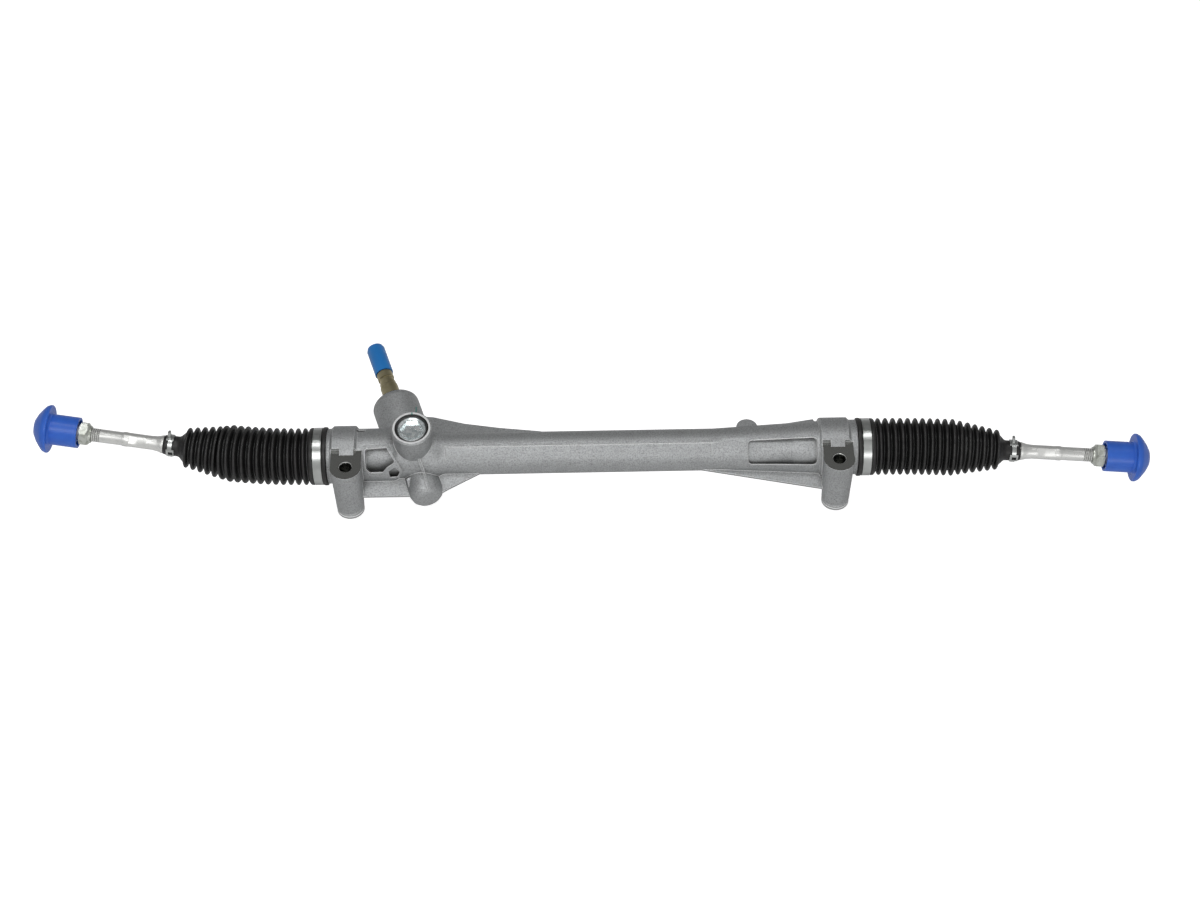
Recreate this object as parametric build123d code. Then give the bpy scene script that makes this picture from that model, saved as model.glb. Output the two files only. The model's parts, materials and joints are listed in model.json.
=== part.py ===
"""Rack and pinion steering gear with both inner tie rods, modelled about the rack's axis and set on its feet.

Millimetres and degrees. X runs along the rack, Z up the mounting bolts, +Y away from the bolts.
The pinion passes under the rack and leaves towards +Y; the rack guide presses down on the rack from above.
"""
import os
from math import acos, cos, pi, radians, sin, sqrt, tan

from build123d import *

# ---- mounting interface ----
BOLT_SPACING = 500.0        # between the two mounting bolts
BOLT_TO_RACK = 35.6         # bolt axes in front of the rack's axis
FOOT_TO_RACK = 43.0         # foot faces under the rack's axis
BOSS_TOP = 23.8             # machined top faces above the rack's axis
BOLT_HOLE_R = 6.4           # clearance for M12
HOLE_CHAMFER = 0.5

# ---- lengths along the rack ----
HALF = BOLT_SPACING / 2
BOLT_TO_END = 41.0          # bolt to the housing's end
SEAT_L = 20.0               # boot seat at each end
END_TO_BALL = 51.6          # housing's end to the centre of the ball joint
BOLT_TO_GEAR = 67.4         # left bolt to where the pinion crosses the rack
BOLT_TO_BUSH = 43.0         # right bolt to the rack bush
SEAT_END = HALF + BOLT_TO_END
SEAT_START = SEAT_END - SEAT_L
BALL_X = SEAT_END + END_TO_BALL
GEAR_X = BOLT_TO_GEAR - HALF
BUSH_AT = HALF - BOLT_TO_BUSH

# ---- housing ----
TUBE_R = 21.6
FACET_ANGLE = 49.0          # flat along the tube's front, up from the horizontal
PARTING_ANGLE = 69.0        # parting line, up from the front
SEAT_R = 26.5               # under the boot's cuff
END_R = SEAT_R + 1.8
COLLAR_R = END_R + 2.6
GEAR_BODY_R, GEAR_WAIST_R = 27.8, 25.4
FLARE_R = 27.6              # the tube swells to this at the right-hand collar
PANEL_R = 20.9              # floor of the sunk panel in the swelling
POCKET_R = 19.8             # floor of the lightening pocket
BOSS_R, BOSS_FOOT_R = 15.9, 14.3
FOOT_RING = 8.4             # height of the turned ring at each foot
WEB = 7.0                   # thickness of the cast webs
WEB_ANGLE = 30.0            # front webs, below the horizontal
WEB_REACH = 43.5            # front webs, out from the rack's axis
EAR_R = 11.0

# ---- rack ----
RACK_R = 13.0
TRAVEL = 60.0               # each way
RACK_GAP = 0.6              # bore round the rack
STOP_GAP = 1.0              # left at full travel
MODULE = 2.0
PRESSURE = 25.0
TEETH = 7
SHIFT = 0.4                 # profile shift of the pinion, in modules
PINION_TIP_R = 9.3
PINION_ROOT_R = 5.45
BACKLASH = 0.06             # taken off each flank of the pinion
TOOTHED = TRAVEL + 15       # half length of the rack's teeth
BUSH_L, BUSH_R = 26.0, 16.0

# ---- pinion and rack guide ----
PINION_DROP = 14.0          # pinion axis under the rack's axis
LEAN = 6.5                  # rack guide leans to the front by this
SLANT = 17.9                # pinion leans away from square to the rack
TOWER_R = 24.6
TOWER_END = 82.3
LOWER_END = 48.5
END_WALL = 8.0              # solid end under the pinion's bore
GEAR_ROOM = 1.7             # round the pinion's teeth
BEARING_R, BEARING_BORE_R, BEARING_W = 21.0, 10.0, 12.0
BEARING_AT = 46.0
RACE = 3.4                  # thickness of each bearing race
GROOVE_R = 3.6              # ball groove
BALL_COUNT = 8
NEEDLE_R, JOURNAL_R = 9.0, 6.0
SHAFT_R, STEP_R, SERRATION_R = 9.4, 8.6, 8.5
SHAFT_END = 151.0
SERRATED = 29.5             # length of the serration
GUIDE_BOSS_R = 20.6
GUIDE_TOP = 48.3
GUIDE_R = 13.9
GUIDE_GAP = 0.1
LINER = 1.0
PLUG_R, SEAL_R = 14.9, 17.3
PLUG_AT, PLUG_TOP = 32.0, 47.2
SEAL_AT, SEAL_TOP = 42.0, 46.9

# ---- ball joints and tie rods ----
BALL_R = 14.0
SOCKET_R = 19.0
SOCKET_BACK = 25.0          # ball centre to the socket's inner face
SOCKET_STUD_R, SOCKET_STUD_L = 7.9, 24.0
SOCKET_ROOM = 2.5           # round it in the housing's ends
SEAT_SHELL = 1.6            # plastic shell round the ball
WASHER = 2.4
SWING_TILT = 45.0           # the rods swing in the plane at this slope
LEFT_TILT, RIGHT_TILT = 8.8, -4.25
SHANK_R = 7.2               # under the boot's small end
WAIST_R = 7.3
THREAD_R = 7.0
THREAD_DEPTH = 0.45         # to the pitch line, where threads in engagement are drawn
SPANNER_FLATS = 12.6
NUT_AF = 22.0
NUT_AT, NUT_W = 173.4, 11.5
ROD_END = 209.0
CAP_AT = 186.3
CAP_END = 233.3
CAP_R, CAP_RIM_R = 15.9, 24.8
CAP_WALL = 2.5
CAP_PLAY = 0.9              # over the crests, so the cap pulls straight off
CAP_SEAT = 0.3              # its floor rests against the rod's end

# ---- boots ----
CUFF_R = SEAT_R + 2.1
CUFF_LIP = 1.6
CLAMP_AT, CLAMP_W = SEAT_START + 5.4, 8.4
NECK_AT, NECK_END = 82.5, 98.0      # boot's small end, along the rod
NECK_R = 10.3
CLIP_AT, CLIP_W = 86.5, 9.0
STRIP = 0.9                 # thickness of clamps and clips
BOOT_R = 29.4
BOOT_DEPTH = 5.8            # from ridge to root
BOOT_WALL = 1.4
BOOT_BEND = 96.0            # length over which a boot bends round its ball joint
RIDGES = 17
TAPERED = 6                 # ridges that shrink towards the neck
FIRST_RIDGE = SEAT_END + 3.5
BOOT_CONE = 10.0            # last ridge to the neck
PITCH = (BALL_X + NECK_AT + 1 - BOOT_CONE - FIRST_RIDGE) / (RIDGES - 1)

# ---- fits ----
GAP = 0.05                  # between pieces that touch round a curve
SADDLE_GAP = 0.05           # running fit
APART = 0.35                # between pieces that turn on each other

RACK_END = BALL_X - SOCKET_BACK - WASHER - 2 * GAP
STOP = RACK_END - TRAVEL - STOP_GAP
RACK_AXIS = Vector(0, BOLT_TO_RACK, FOOT_TO_RACK)
X = Vector(1, 0, 0)
UP = Vector(0, 0, 1)
GUIDE_DIR = Vector(0, -sin(radians(LEAN)), cos(radians(LEAN)))
ACROSS = Vector(0, cos(radians(LEAN)), sin(radians(LEAN)))
PINION_DIR = ACROSS * cos(radians(SLANT)) - X * sin(radians(SLANT))
MESH_DIR = X * cos(radians(SLANT)) + ACROSS * sin(radians(SLANT))
CROSSING = Vector(GEAR_X, 0, 0)
PINION_FOOT = CROSSING - GUIDE_DIR * PINION_DROP
SWING_DIR = Vector(0, cos(radians(SWING_TILT)), sin(radians(SWING_TILT)))


def save(shape, node):
    export_step(shape.moved(Location(RACK_AXIS)), f"parts/{node}.step")


def square_to(direction):
    other = Vector(0, 0, 1) if abs(direction.Z) < 0.9 else Vector(1, 0, 0)
    return direction.cross(other).normalized()


def rod(start, direction, radius, length):
    return Solid.make_cylinder(radius, length, Plane(start, z_dir=direction))


def cone(start, direction, first, last, length):
    return Solid.make_cone(first, last, length, Plane(start, z_dir=direction))


def turned(outline, start, direction):
    """Solid of revolution from (distance along, radius) points."""
    out = square_to(direction)
    points = [start + direction * a + out * r for a, r in outline]
    return Solid.revolve(Face(Wire.make_polygon(points, close=True)), 360, Axis(start, direction))


def ring(start, direction, inner, outer, begin, end):
    return turned([(begin, inner), (begin, outer), (end, outer), (end, inner)], start, direction)


def prism(points, direction, thickness):
    """Flat polygon grown by half the thickness to each side."""
    face = Face(Wire.make_polygon([p - direction * (thickness / 2) for p in points], close=True))
    return Solid.extrude(face, direction * thickness)


def block(centre, x_dir, z_dir, length, width, height):
    return Box(length, width, height).moved(Location(Plane(centre, x_dir=x_dir, z_dir=z_dir)))


def radial(angle):
    """Direction square to the rack, measured up from the front."""
    return Vector(0, -cos(radians(angle)), sin(radians(angle)))


# ---------------------------------------------------------------- housing
SIGHT = radial(FACET_ANGLE)     # square to the casting's front


def front_prism(points, corner, begin, end):
    """Rounded polygon drawn on the casting's front as (x, up), from begin to end out of the rack's axis."""
    flat = make_face(Polyline(*points, close=True))
    flat = fillet(flat.vertices(), corner)
    return extrude(Plane(SIGHT * begin, x_dir=X, z_dir=SIGHT) * flat, end - begin)


def end_profile(side, inner, outer, root_r):
    """Outline from the tube over the collar to the boot seat; the collar runs inner and outer of the bolt."""
    begin, finish = HALF - inner, HALF + outer
    outline = [(begin - 1.5, root_r), (begin, COLLAR_R - 1.2), (begin + 1.4, COLLAR_R)]
    outline += [(finish - 2.0, COLLAR_R), (finish, END_R + 0.6), (finish + 0.8, END_R)]
    outline += [(SEAT_START, END_R), (SEAT_START, SEAT_R), (SEAT_END - 1, SEAT_R), (SEAT_END, SEAT_R - 1)]
    return [(side * a, r) for a, r in outline]


def barrel():
    left = end_profile(-1, 8.8, 16.8, GEAR_BODY_R)[::-1]
    gear = [(GEAR_X - 20.4, GEAR_BODY_R), (GEAR_X - 15.4, GEAR_WAIST_R), (GEAR_X + 19.6, GEAR_WAIST_R),
            (GEAR_X + 30.6, TUBE_R)]
    right = end_profile(1, 17.3, 13.6, TUBE_R)
    outline = [(-SEAT_END, 0)] + left + gear + right + [(SEAT_END, 0)]
    return turned(outline, Vector(0, 0, 0), X) - facet()


def facet():
    """Long flat down the front of the tube, from the gear case to the swelling."""
    begin, finish = GEAR_X + 33, HALF - 98
    flat_at = TUBE_R * cos(radians(PARTING_ANGLE - FACET_ANGLE))
    return block(X * ((begin + finish) / 2) + SIGHT * (flat_at + 5), X, SIGHT, finish - begin, 30, 10)


def flare():
    """Swelling between the tube and the right-hand collar."""
    begin, finish = HALF - 128, HALF - 16
    return cone(X * begin, X, TUBE_R - 0.1, FLARE_R, finish - begin)


def panel():
    """Sunk panel in the swelling's front, with a step in its floor."""
    begin, step, finish = HALF - 91, HALF - 46.4, HALF - 20.6
    outline = [(begin, -15.6), (finish, -17.2), (finish, 10.8), (begin, 8.6)]
    floor = turned([(begin - 2, 0), (begin - 2, PANEL_R), (step, PANEL_R), (step + 3, PANEL_R + 1.5),
                    (finish + 2, PANEL_R + 1.5), (finish + 2, 0)], Vector(0, 0, 0), X)
    return front_prism(outline, 4.5, 0, 45) - floor


def boss(x):
    """Mounting boss: drafted column with a turned foot, bridged to the collar."""
    height = BOSS_TOP + FOOT_TO_RACK
    neck = height - FOOT_RING
    column = turned(
        [(0, 0), (0, BOSS_R), (neck, BOSS_FOOT_R), (neck, BOSS_FOOT_R - 0.9), (neck + 1, BOSS_FOOT_R - 0.9),
         (neck + 1.6, BOSS_FOOT_R - 0.2), (height - 1.2, BOSS_FOOT_R - 0.2), (height, BOSS_FOOT_R - 1.4),
         (height, 0)],
        Vector(x, -BOLT_TO_RACK, BOSS_TOP), -UP)
    bridge = block(Vector(x, -BOLT_TO_RACK / 2 - 4, BOSS_TOP / 2 - 4), X, UP, 2 * BOSS_R - 1,
                   BOLT_TO_RACK - 8, BOSS_TOP + 8)
    return column + bridge


def spot_face(x):
    """Seat milled for the bolt's head, with two square corners cut back into the collar."""
    wide = block(Vector(x, -BOLT_TO_RACK - 8, BOSS_TOP + 10), X, UP, 2 * BOSS_R + 0.4, 40, 20)
    corners = block(Vector(x, -BOLT_TO_RACK + 10, BOSS_TOP + 10), X, UP, 2 * BOSS_R, 24, 20)
    middle = block(Vector(x, -BOLT_TO_RACK + 16, BOSS_TOP + 8), X, UP, 14.4, 18, 26)
    return wide + (corners - middle)


def web(points, angle):
    """Cast web in a plane through the rack's axis; points are (x, reach)."""
    out = radial(angle)
    flat = [X * x + out * reach for x, reach in points]
    return prism(flat, X.cross(out), WEB)


def webs():
    """Front webs slope down to the bosses, back webs lie level beside the pinion's tower and the collar."""
    root = 12
    left = web([(-HALF, root), (-HALF, WEB_REACH), (GEAR_X + 22, WEB_REACH), (GEAR_X + 35, WEB_REACH - 7),
                (GEAR_X + 69, TUBE_R - 1.5), (GEAR_X + 69, root)], -WEB_ANGLE)
    right = web([(HALF - 142, root), (HALF - 138, TUBE_R - 0.3), (HALF - 12, WEB_REACH), (HALF, WEB_REACH),
                 (HALF, root)], -WEB_ANGLE)
    back = web([(GEAR_X, root), (GEAR_X, 50.0), (GEAR_X + 17.6, 48.1), (GEAR_X + 50.5, 38.3),
                (GEAR_X + 87.6, 31.6), (GEAR_X + 129, 26.2), (GEAR_X + 148, TUBE_R - 1),
                (GEAR_X + 148, root)], 180)
    right_back = web([(HALF - 80, root), (HALF - 78, TUBE_R), (HALF - 68, 27.4), (HALF - 20, 36.2),
                      (HALF - 10, root)], 180)
    return left, right, back, right_back


def pinion_end(grow):
    """Blind lower end of the pinion's bore, bowl-shaped with a drafted wall."""
    return turned([(0, 0), (0, 9 + grow), (1.2, 12.5 + grow), (4.5, 15.8 + grow), (10, 17.6 + grow),
                   (LOWER_END - 4, 19.5 + grow), (LOWER_END, 19.5 + grow), (LOWER_END, 0)],
                  PINION_FOOT - PINION_DIR * LOWER_END, PINION_DIR)


def gear_case():
    tower = rod(PINION_FOOT - PINION_DIR * 6, PINION_DIR, TOWER_R, TOWER_END + 6)
    tower = fillet(tower.edges().sort_by(Axis(tuple(PINION_FOOT), tuple(PINION_DIR)))[-1], 9)
    guide = turned([(-20, 0), (-20, 15.5), (6, 18.6), (28, 20.1), (GUIDE_TOP - 1.4, GUIDE_BOSS_R),
                    (GUIDE_TOP, GUIDE_BOSS_R - 1.4), (GUIDE_TOP, 0)], CROSSING, GUIDE_DIR)
    return tower, pinion_end(0), guide


def case_rib():
    """Thin rib that runs down the gear case and over the pinion's lower end."""
    line = [(GEAR_X + 4.4, -3), (GEAR_X + 6.8, -3), (GEAR_X + 17, -36), (GEAR_X + 14.4, -36)]
    grown = rod(CROSSING - X * 20, X, GEAR_WAIST_R + 1.6, 45) + pinion_end(1.5)
    return front_prism(line, 0.8, 2, 40) & grown


def case_pad():
    """Flat-faced pad in the corner of the web and the pinion's lower end."""
    outline = [(GEAR_X - 8, -24), (GEAR_X + 12, -20), (GEAR_X + 12, -34), (GEAR_X + 2, -41), (GEAR_X - 6, -32)]
    return front_prism(outline, 2, -6, 15.5)


POCKET = [(-48.4, 6.5), (-26.9, 7.8), (-18.5, -7.2), (-26.8, -12.3), (-31.5, -17.2), (-44.4, -17.3),
          (-48.4, -13.3)]
SMALL_POCKET = [(-25.5, -16.5), (-18.9, -12.2), (-13.8, -17.2), (-16.7, -22.0), (-24.4, -22.4)]


def beside_gear(points):
    return [(GEAR_X + x, up) for x, up in points]


def pocket_rims():
    """Narrow raised lips round the pockets in the gear case."""
    wide = front_prism(beside_gear(POCKET), 2.5, 0, 40)
    wide = wide + front_prism(beside_gear(SMALL_POCKET), 1.5, 0, 40)
    around = Vector(GEAR_X - 32, 0, 0)
    outline = [(GEAR_X - 50.4, 9.2), (GEAR_X - 25.6, 10), (GEAR_X - 16.2, -7.2), (GEAR_X - 11.6, -16.8),
               (GEAR_X - 15.4, -24), (GEAR_X - 26, -24.6), (GEAR_X - 45, -19.4), (GEAR_X - 50.4, -13.6)]
    return (front_prism(outline, 3, 0, 40) & rod(around - X * 25, X, GEAR_BODY_R + 0.8, 50)) - wide


def pockets():
    """Two rounded lightening pockets with round floors."""
    large = front_prism(beside_gear(POCKET), 2.5, 0, 40) - rod(CROSSING - X * 60, X, POCKET_R, 60)
    small = front_prism(beside_gear(SMALL_POCKET), 1.5, 0, 40) - rod(CROSSING - X * 60, X, POCKET_R + 4, 60)
    return large, small


def collar_notch():
    """Small hollow on top of the gear case, against the left-hand collar."""
    out = radial(116)
    return block(X * (GEAR_X - 54) + out * GEAR_BODY_R, X, out, 8.5, 5, 9)


def ear():
    """Half-round lug on the back of the tube."""
    return rod(Vector(HALF - 90.5, 14.8, 8), UP, EAR_R, 9)


def parting_line():
    out = radial(PARTING_ANGLE)
    begin, finish = GEAR_X + 36, HALF - 96
    return block(out * (TUBE_R - 1) + X * ((begin + finish) / 2), X, out, finish - begin, 1.2, 2.7)


def housing():
    body = barrel()
    pieces = [flare(), *gear_case(), *webs(), case_pad(), case_rib(), pocket_rims(), ear(), parting_line()]
    for piece in pieces:
        body = body + piece
    for cut in (panel(), *pockets(), collar_notch()):
        body = body - cut
    for x in (-HALF, HALF):
        body = body + boss(x)
    for x in (-HALF, HALF):
        body = body - spot_face(x)
    for cut in bores():
        body = body - cut
    return body


def bores():
    rack_bore = rod(X * -STOP, X, RACK_R + RACK_GAP, 2 * STOP)
    core_start = GEAR_X + 34.6
    core = rod(X * core_start, X, RACK_R + 2.5, BUSH_AT - core_start)
    bush_seat = rod(X * BUSH_AT, X, BUSH_R, STOP - BUSH_AT + 1)
    ends = [rod(X * (side * STOP), X * side, SOCKET_R + SOCKET_ROOM, SEAT_END - STOP + 5) for side in (-1, 1)]
    guide_bore = GUIDE_R + GUIDE_GAP
    guide = turned([(0, 0), (0, guide_bore), (PLUG_AT - 1, guide_bore), (PLUG_AT - 1, PLUG_R),
                    (SEAL_AT - 0.5, PLUG_R), (SEAL_AT - 0.5, SEAL_R), (GUIDE_TOP + 12, SEAL_R),
                    (GUIDE_TOP + 12, 0)], CROSSING, GUIDE_DIR)
    room = PINION_TIP_R + GEAR_ROOM
    blind, shoulder = END_WALL - LOWER_END, BEARING_AT - 5
    above = TOWER_END + 18
    pinion = turned([(blind, 0), (blind, NEEDLE_R), (-25, NEEDLE_R), (-25, room), (shoulder, room),
                     (shoulder, 16), (BEARING_AT, 16), (BEARING_AT, BEARING_R), (above, BEARING_R), (above, 0)],
                    PINION_FOOT, PINION_DIR)
    holes, mouth = [], BOLT_HOLE_R + HOLE_CHAMFER
    for x in (-HALF, HALF):
        outline = [(-5, 0), (-5, mouth), (0, mouth), (HOLE_CHAMFER, BOLT_HOLE_R), (100, BOLT_HOLE_R), (100, 0)]
        holes.append(turned(outline, Vector(x, -BOLT_TO_RACK, BOSS_TOP), -UP))
    return [rack_bore, core, bush_seat, *ends, guide, pinion, *holes]


# ---------------------------------------------------------------- rack guide
def guide_yoke():
    body = rod(CROSSING + GUIDE_DIR * 3, GUIDE_DIR, GUIDE_R, 23)
    saddle = rod(CROSSING - X * 30, X, RACK_R + SADDLE_GAP + LINER, 60)
    spring_well = rod(CROSSING + GUIDE_DIR * 22, GUIDE_DIR, 9.5, 10)
    return body - saddle - spring_well


def guide_liner():
    arc = ring(CROSSING, X, RACK_R + SADDLE_GAP, RACK_R + SADDLE_GAP + LINER - GAP, -10.5, 10.5)
    return arc & rod(CROSSING + GUIDE_DIR * 5, GUIDE_DIR, GUIDE_R - 0.1, 16)


def guide_spring():
    """Two disc springs back to back, between the guide and the plug."""
    low, high, thick = 22.05, PLUG_AT - 0.05, 1.6
    mid = (low + high) / 2
    lower = turned([(low, 9.2), (low, 8.2), (mid - thick, 4.2), (mid, 4.2), (mid, 5.0), (low + thick, 9.2)],
                   CROSSING, GUIDE_DIR)
    upper = turned([(high, 9.2), (high, 8.2), (mid + thick, 4.2), (mid, 4.2), (mid, 5.0), (high - thick, 9.2)],
                   CROSSING, GUIDE_DIR)
    return lower + upper


def guide_plug():
    """Threaded plug with a dished hexagon recess."""
    radius = PLUG_R - GAP
    body = turned([(PLUG_AT, 0), (PLUG_AT, radius - 1), (PLUG_AT + 1, radius), (PLUG_TOP - 1, radius),
                   (PLUG_TOP, radius - 1), (PLUG_TOP, 0)], CROSSING, GUIDE_DIR)
    socket_plane = Plane(CROSSING + GUIDE_DIR * (PLUG_TOP - 5), x_dir=(1, 0, 0), z_dir=GUIDE_DIR)
    hexagon = extrude(socket_plane * RegularPolygon(10, 6, major_radius=False), 10)
    dish = cone(CROSSING + GUIDE_DIR * (PLUG_TOP - 1.2), GUIDE_DIR, 11.2, 13.2, 1.3)
    return body - hexagon - dish


def guide_seal():
    face = SEAL_TOP - 0.5
    return turned([(SEAL_AT, PLUG_R), (SEAL_AT, SEAL_R - GAP), (face, SEAL_R - GAP), (SEAL_TOP, SEAL_R - 0.8),
                   (face, PLUG_R)], CROSSING, GUIDE_DIR)


# ---------------------------------------------------------------- pinion
def involute(angle):
    return tan(angle) - angle


def pinion_outline():
    """Tooth outline as (along the rack's pitch line, towards the rack), one tooth pointing at the rack."""
    pitch_r = MODULE * TEETH / 2
    base_r = pitch_r * cos(radians(PRESSURE))
    thick = MODULE * (pi / 2 + 2 * SHIFT * tan(radians(PRESSURE))) - 2 * BACKLASH
    half_at_base = thick / 2 / pitch_r + involute(radians(PRESSURE))
    flank = [(PINION_ROOT_R, half_at_base + 0.03)]
    for step in range(5):
        r = base_r + 0.02 + (PINION_TIP_R - base_r - 0.02) * (step / 4)
        flank.append((r, half_at_base - involute(acos(base_r / r))))
    points = []
    for tooth in range(TEETH):
        turn = 2 * pi * tooth / TEETH
        for r, half in flank:
            points.append((r * sin(turn - half), r * cos(turn - half)))
        for r, half in flank[::-1]:
            points.append((r * sin(turn + half), r * cos(turn + half)))
    return points


def pinion_gear():
    start = PINION_FOOT - PINION_DIR * 16.5
    points = [start + MESH_DIR * a + GUIDE_DIR * b for a, b in pinion_outline()]
    return Solid.extrude(Face(Wire.make_polygon(points, close=True)), PINION_DIR * 33)


def pinion_shaft():
    foot, gear = END_WALL + 1 - LOWER_END, 16.4
    low = turned([(foot, 0), (foot, JOURNAL_R - 0.8), (foot + 0.8, JOURNAL_R), (-24, JOURNAL_R), (-24, 5.3),
                  (-gear, 5.3), (-gear, 0)], PINION_FOOT, PINION_DIR)
    collar = BEARING_AT + BEARING_W
    serration_at = SHAFT_END - SERRATED - 1.5
    groove = serration_at - 14
    shoulder_r = BEARING_BORE_R + 1.4
    high = turned([(gear, 0), (gear, 8.0), (BEARING_AT, 8.0), (BEARING_AT, BEARING_BORE_R),
                   (collar, BEARING_BORE_R), (collar, shoulder_r), (collar + 3, shoulder_r),
                   (collar + 3.5, SHAFT_R), (groove - 5, SHAFT_R), (groove - 4, STEP_R), (groove, STEP_R),
                   (groove + 0.6, STEP_R - 1), (groove + 5, STEP_R - 1), (groove + 5.6, STEP_R),
                   (serration_at - 1, STEP_R),
                   (serration_at, 7.9), (SHAFT_END - 1.5, 7.9), (SHAFT_END, 6.6), (SHAFT_END, 0)],
                  PINION_FOOT, PINION_DIR)
    start = PINION_FOOT + PINION_DIR * (serration_at - 0.5)
    teeth = []
    for k in range(72):
        r = SERRATION_R if k % 2 else SERRATION_R - 0.55
        teeth.append(start + MESH_DIR * (r * sin(pi * k / 36)) + GUIDE_DIR * (r * cos(pi * k / 36)))
    serration = Solid.extrude(Face(Wire.make_polygon(teeth, close=True)), PINION_DIR * (SERRATED - 0.5))
    return low + pinion_gear() + high + serration


def bearing_pitch_r():
    return (BEARING_R + BEARING_BORE_R) / 2


def bearing_outer():
    outer = BEARING_R - GAP
    body = ring(PINION_FOOT, PINION_DIR, outer - RACE, outer, BEARING_AT + GAP, BEARING_AT + BEARING_W - GAP)
    return body - ball_track(GROOVE_R)


def bearing_inner():
    inner = BEARING_BORE_R + GAP
    body = ring(PINION_FOOT, PINION_DIR, inner, inner + RACE, BEARING_AT + GAP, BEARING_AT + BEARING_W - GAP)
    return body - ball_track(GROOVE_R)


def ball_track(radius):
    middle = PINION_FOOT + PINION_DIR * (BEARING_AT + BEARING_W / 2)
    return Solid.make_torus(bearing_pitch_r(), radius, Plane(middle, z_dir=PINION_DIR))


def bearing_balls():
    middle = PINION_FOOT + PINION_DIR * (BEARING_AT + BEARING_W / 2)
    balls = []
    for k in range(BALL_COUNT):
        turn = 2 * pi * k / BALL_COUNT
        spot = middle + (MESH_DIR * cos(turn) + GUIDE_DIR * sin(turn)) * bearing_pitch_r()
        balls.append(Solid.make_sphere(GROOVE_R - 0.3).moved(Location(spot)))
    return Compound(balls)


def needle_bearing():
    return ring(PINION_FOOT, PINION_DIR, JOURNAL_R + SADDLE_GAP, NEEDLE_R - GAP,
                END_WALL + 1.5 - LOWER_END, -26)


def lock_ring():
    """Threaded ring that holds the bearing down."""
    return ring(PINION_FOOT, PINION_DIR, 14.5, BEARING_R - GAP, BEARING_AT + BEARING_W + GAP, 68)


def pinion_seal():
    low, top = TOWER_END - 11.5, TOWER_END - 1.5
    lip, outer = SHAFT_R + SADDLE_GAP, BEARING_R - GAP
    return turned([(low, lip), (low, outer), (top, outer), (top, SHAFT_R + 3.6), (top - 2, SHAFT_R + 2.1),
                   (top - 2, SHAFT_R + 1.2), (low + 4, lip)], PINION_FOOT, PINION_DIR)


def pinion_cap():
    """Sleeve cap pushed over the serration."""
    inner = SERRATION_R + SADDLE_GAP
    outer = inner + 1.15
    low, top = SHAFT_END - 31.2, SHAFT_END + 6
    return turned([(low, inner), (low, outer), (top - 4.5, outer), (top - 1.6, outer - 1.5), (top, outer - 4.5),
                   (top, 0), (top - 1.5, 0), (top - 1.5, inner)], PINION_FOOT, PINION_DIR)


# ---------------------------------------------------------------- rack and ball joints
def rack_bar():
    """Bar with a threaded hole in each end for the ball sockets."""
    hole, depth = SOCKET_STUD_R + 0.1, SOCKET_STUD_L + 3
    outline = [(RACK_END - depth, 0), (RACK_END - depth, hole), (RACK_END, hole), (RACK_END, RACK_R - 1),
               (RACK_END - 1, RACK_R)]
    bar = turned([(-a, r) for a, r in outline] + outline[::-1], Vector(0, 0, 0), X)
    return bar - rack_teeth()


def rack_teeth():
    """What is cut away under the rack to leave its teeth, drawn square to the pinion."""
    pitch = pi * MODULE
    datum = MODULE * TEETH / 2 + SHIFT * MODULE - PINION_DROP
    tip, root = datum - MODULE, datum + MODULE
    half_tip = pitch / 4 - MODULE * tan(radians(PRESSURE))
    half_root = pitch / 4 + MODULE * tan(radians(PRESSURE))
    count = round(TOOTHED * cos(radians(SLANT)) / pitch)
    points = [(-(count + 0.5) * pitch, -30), (-(count + 0.5) * pitch, tip)]
    for k in range(-count, count + 1):
        points += [(k * pitch - half_root, tip), (k * pitch - half_tip, root)]
        points += [(k * pitch + half_tip, root), (k * pitch + half_root, tip)]
    points += [((count + 0.5) * pitch, tip), ((count + 0.5) * pitch, -30)]
    placed = [CROSSING - PINION_DIR * 60 + MESH_DIR * a + GUIDE_DIR * b for a, b in points]
    return Solid.extrude(Face(Wire.make_polygon(placed, close=True)), PINION_DIR * 120)


def rack_bush():
    return ring(Vector(0, 0, 0), X, RACK_R + SADDLE_GAP, BUSH_R - GAP, BUSH_AT + GAP, BUSH_AT + BUSH_L)


def outward(side):
    return X * side


def ball_centre(side):
    return X * (side * BALL_X)


def socket(side):
    """Ball socket screwed into the rack's end, with two spanner flats and a rolled rim."""
    stud, back, rim = SOCKET_STUD_R, -SOCKET_BACK, BALL_R - 2.5
    tip = back - SOCKET_STUD_L
    body = turned([(tip, 0), (tip, stud - 1), (tip + 1, stud), (back, stud), (back, SOCKET_R - 1.5),
                   (back + 1.5, SOCKET_R), (rim - 3.5, SOCKET_R), (rim, SOCKET_R - 2), (rim, 0)],
                  ball_centre(side), outward(side))
    mouth = cone(ball_centre(side), outward(side), 8, 22, 18)
    body = body - Solid.make_sphere(BALL_R + SEAT_SHELL).moved(Location(ball_centre(side))) - mouth
    for way in (-1, 1):
        place = ball_centre(side) + X * (side * (back + 5)) + SWING_DIR * (way * (SOCKET_R + 2.5))
        body = body - block(place, X, SWING_DIR, 10, 2 * SOCKET_R + 2, 9)
    return body


def ball_seat(side):
    shell = Solid.make_sphere(BALL_R + SEAT_SHELL - GAP).moved(Location(ball_centre(side)))
    shell = shell - Solid.make_sphere(BALL_R + SADDLE_GAP).moved(Location(ball_centre(side)))
    return shell - rod(ball_centre(side) + outward(side) * (BALL_R / 2), outward(side), 2 * BALL_R, 20)


def lock_washer(side):
    """Washer between the rack's end and the ball socket."""
    face = -SOCKET_BACK - GAP
    return ring(ball_centre(side), outward(side), SOCKET_STUD_R + 0.3, SOCKET_R - 2, face - WASHER, face)


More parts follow.
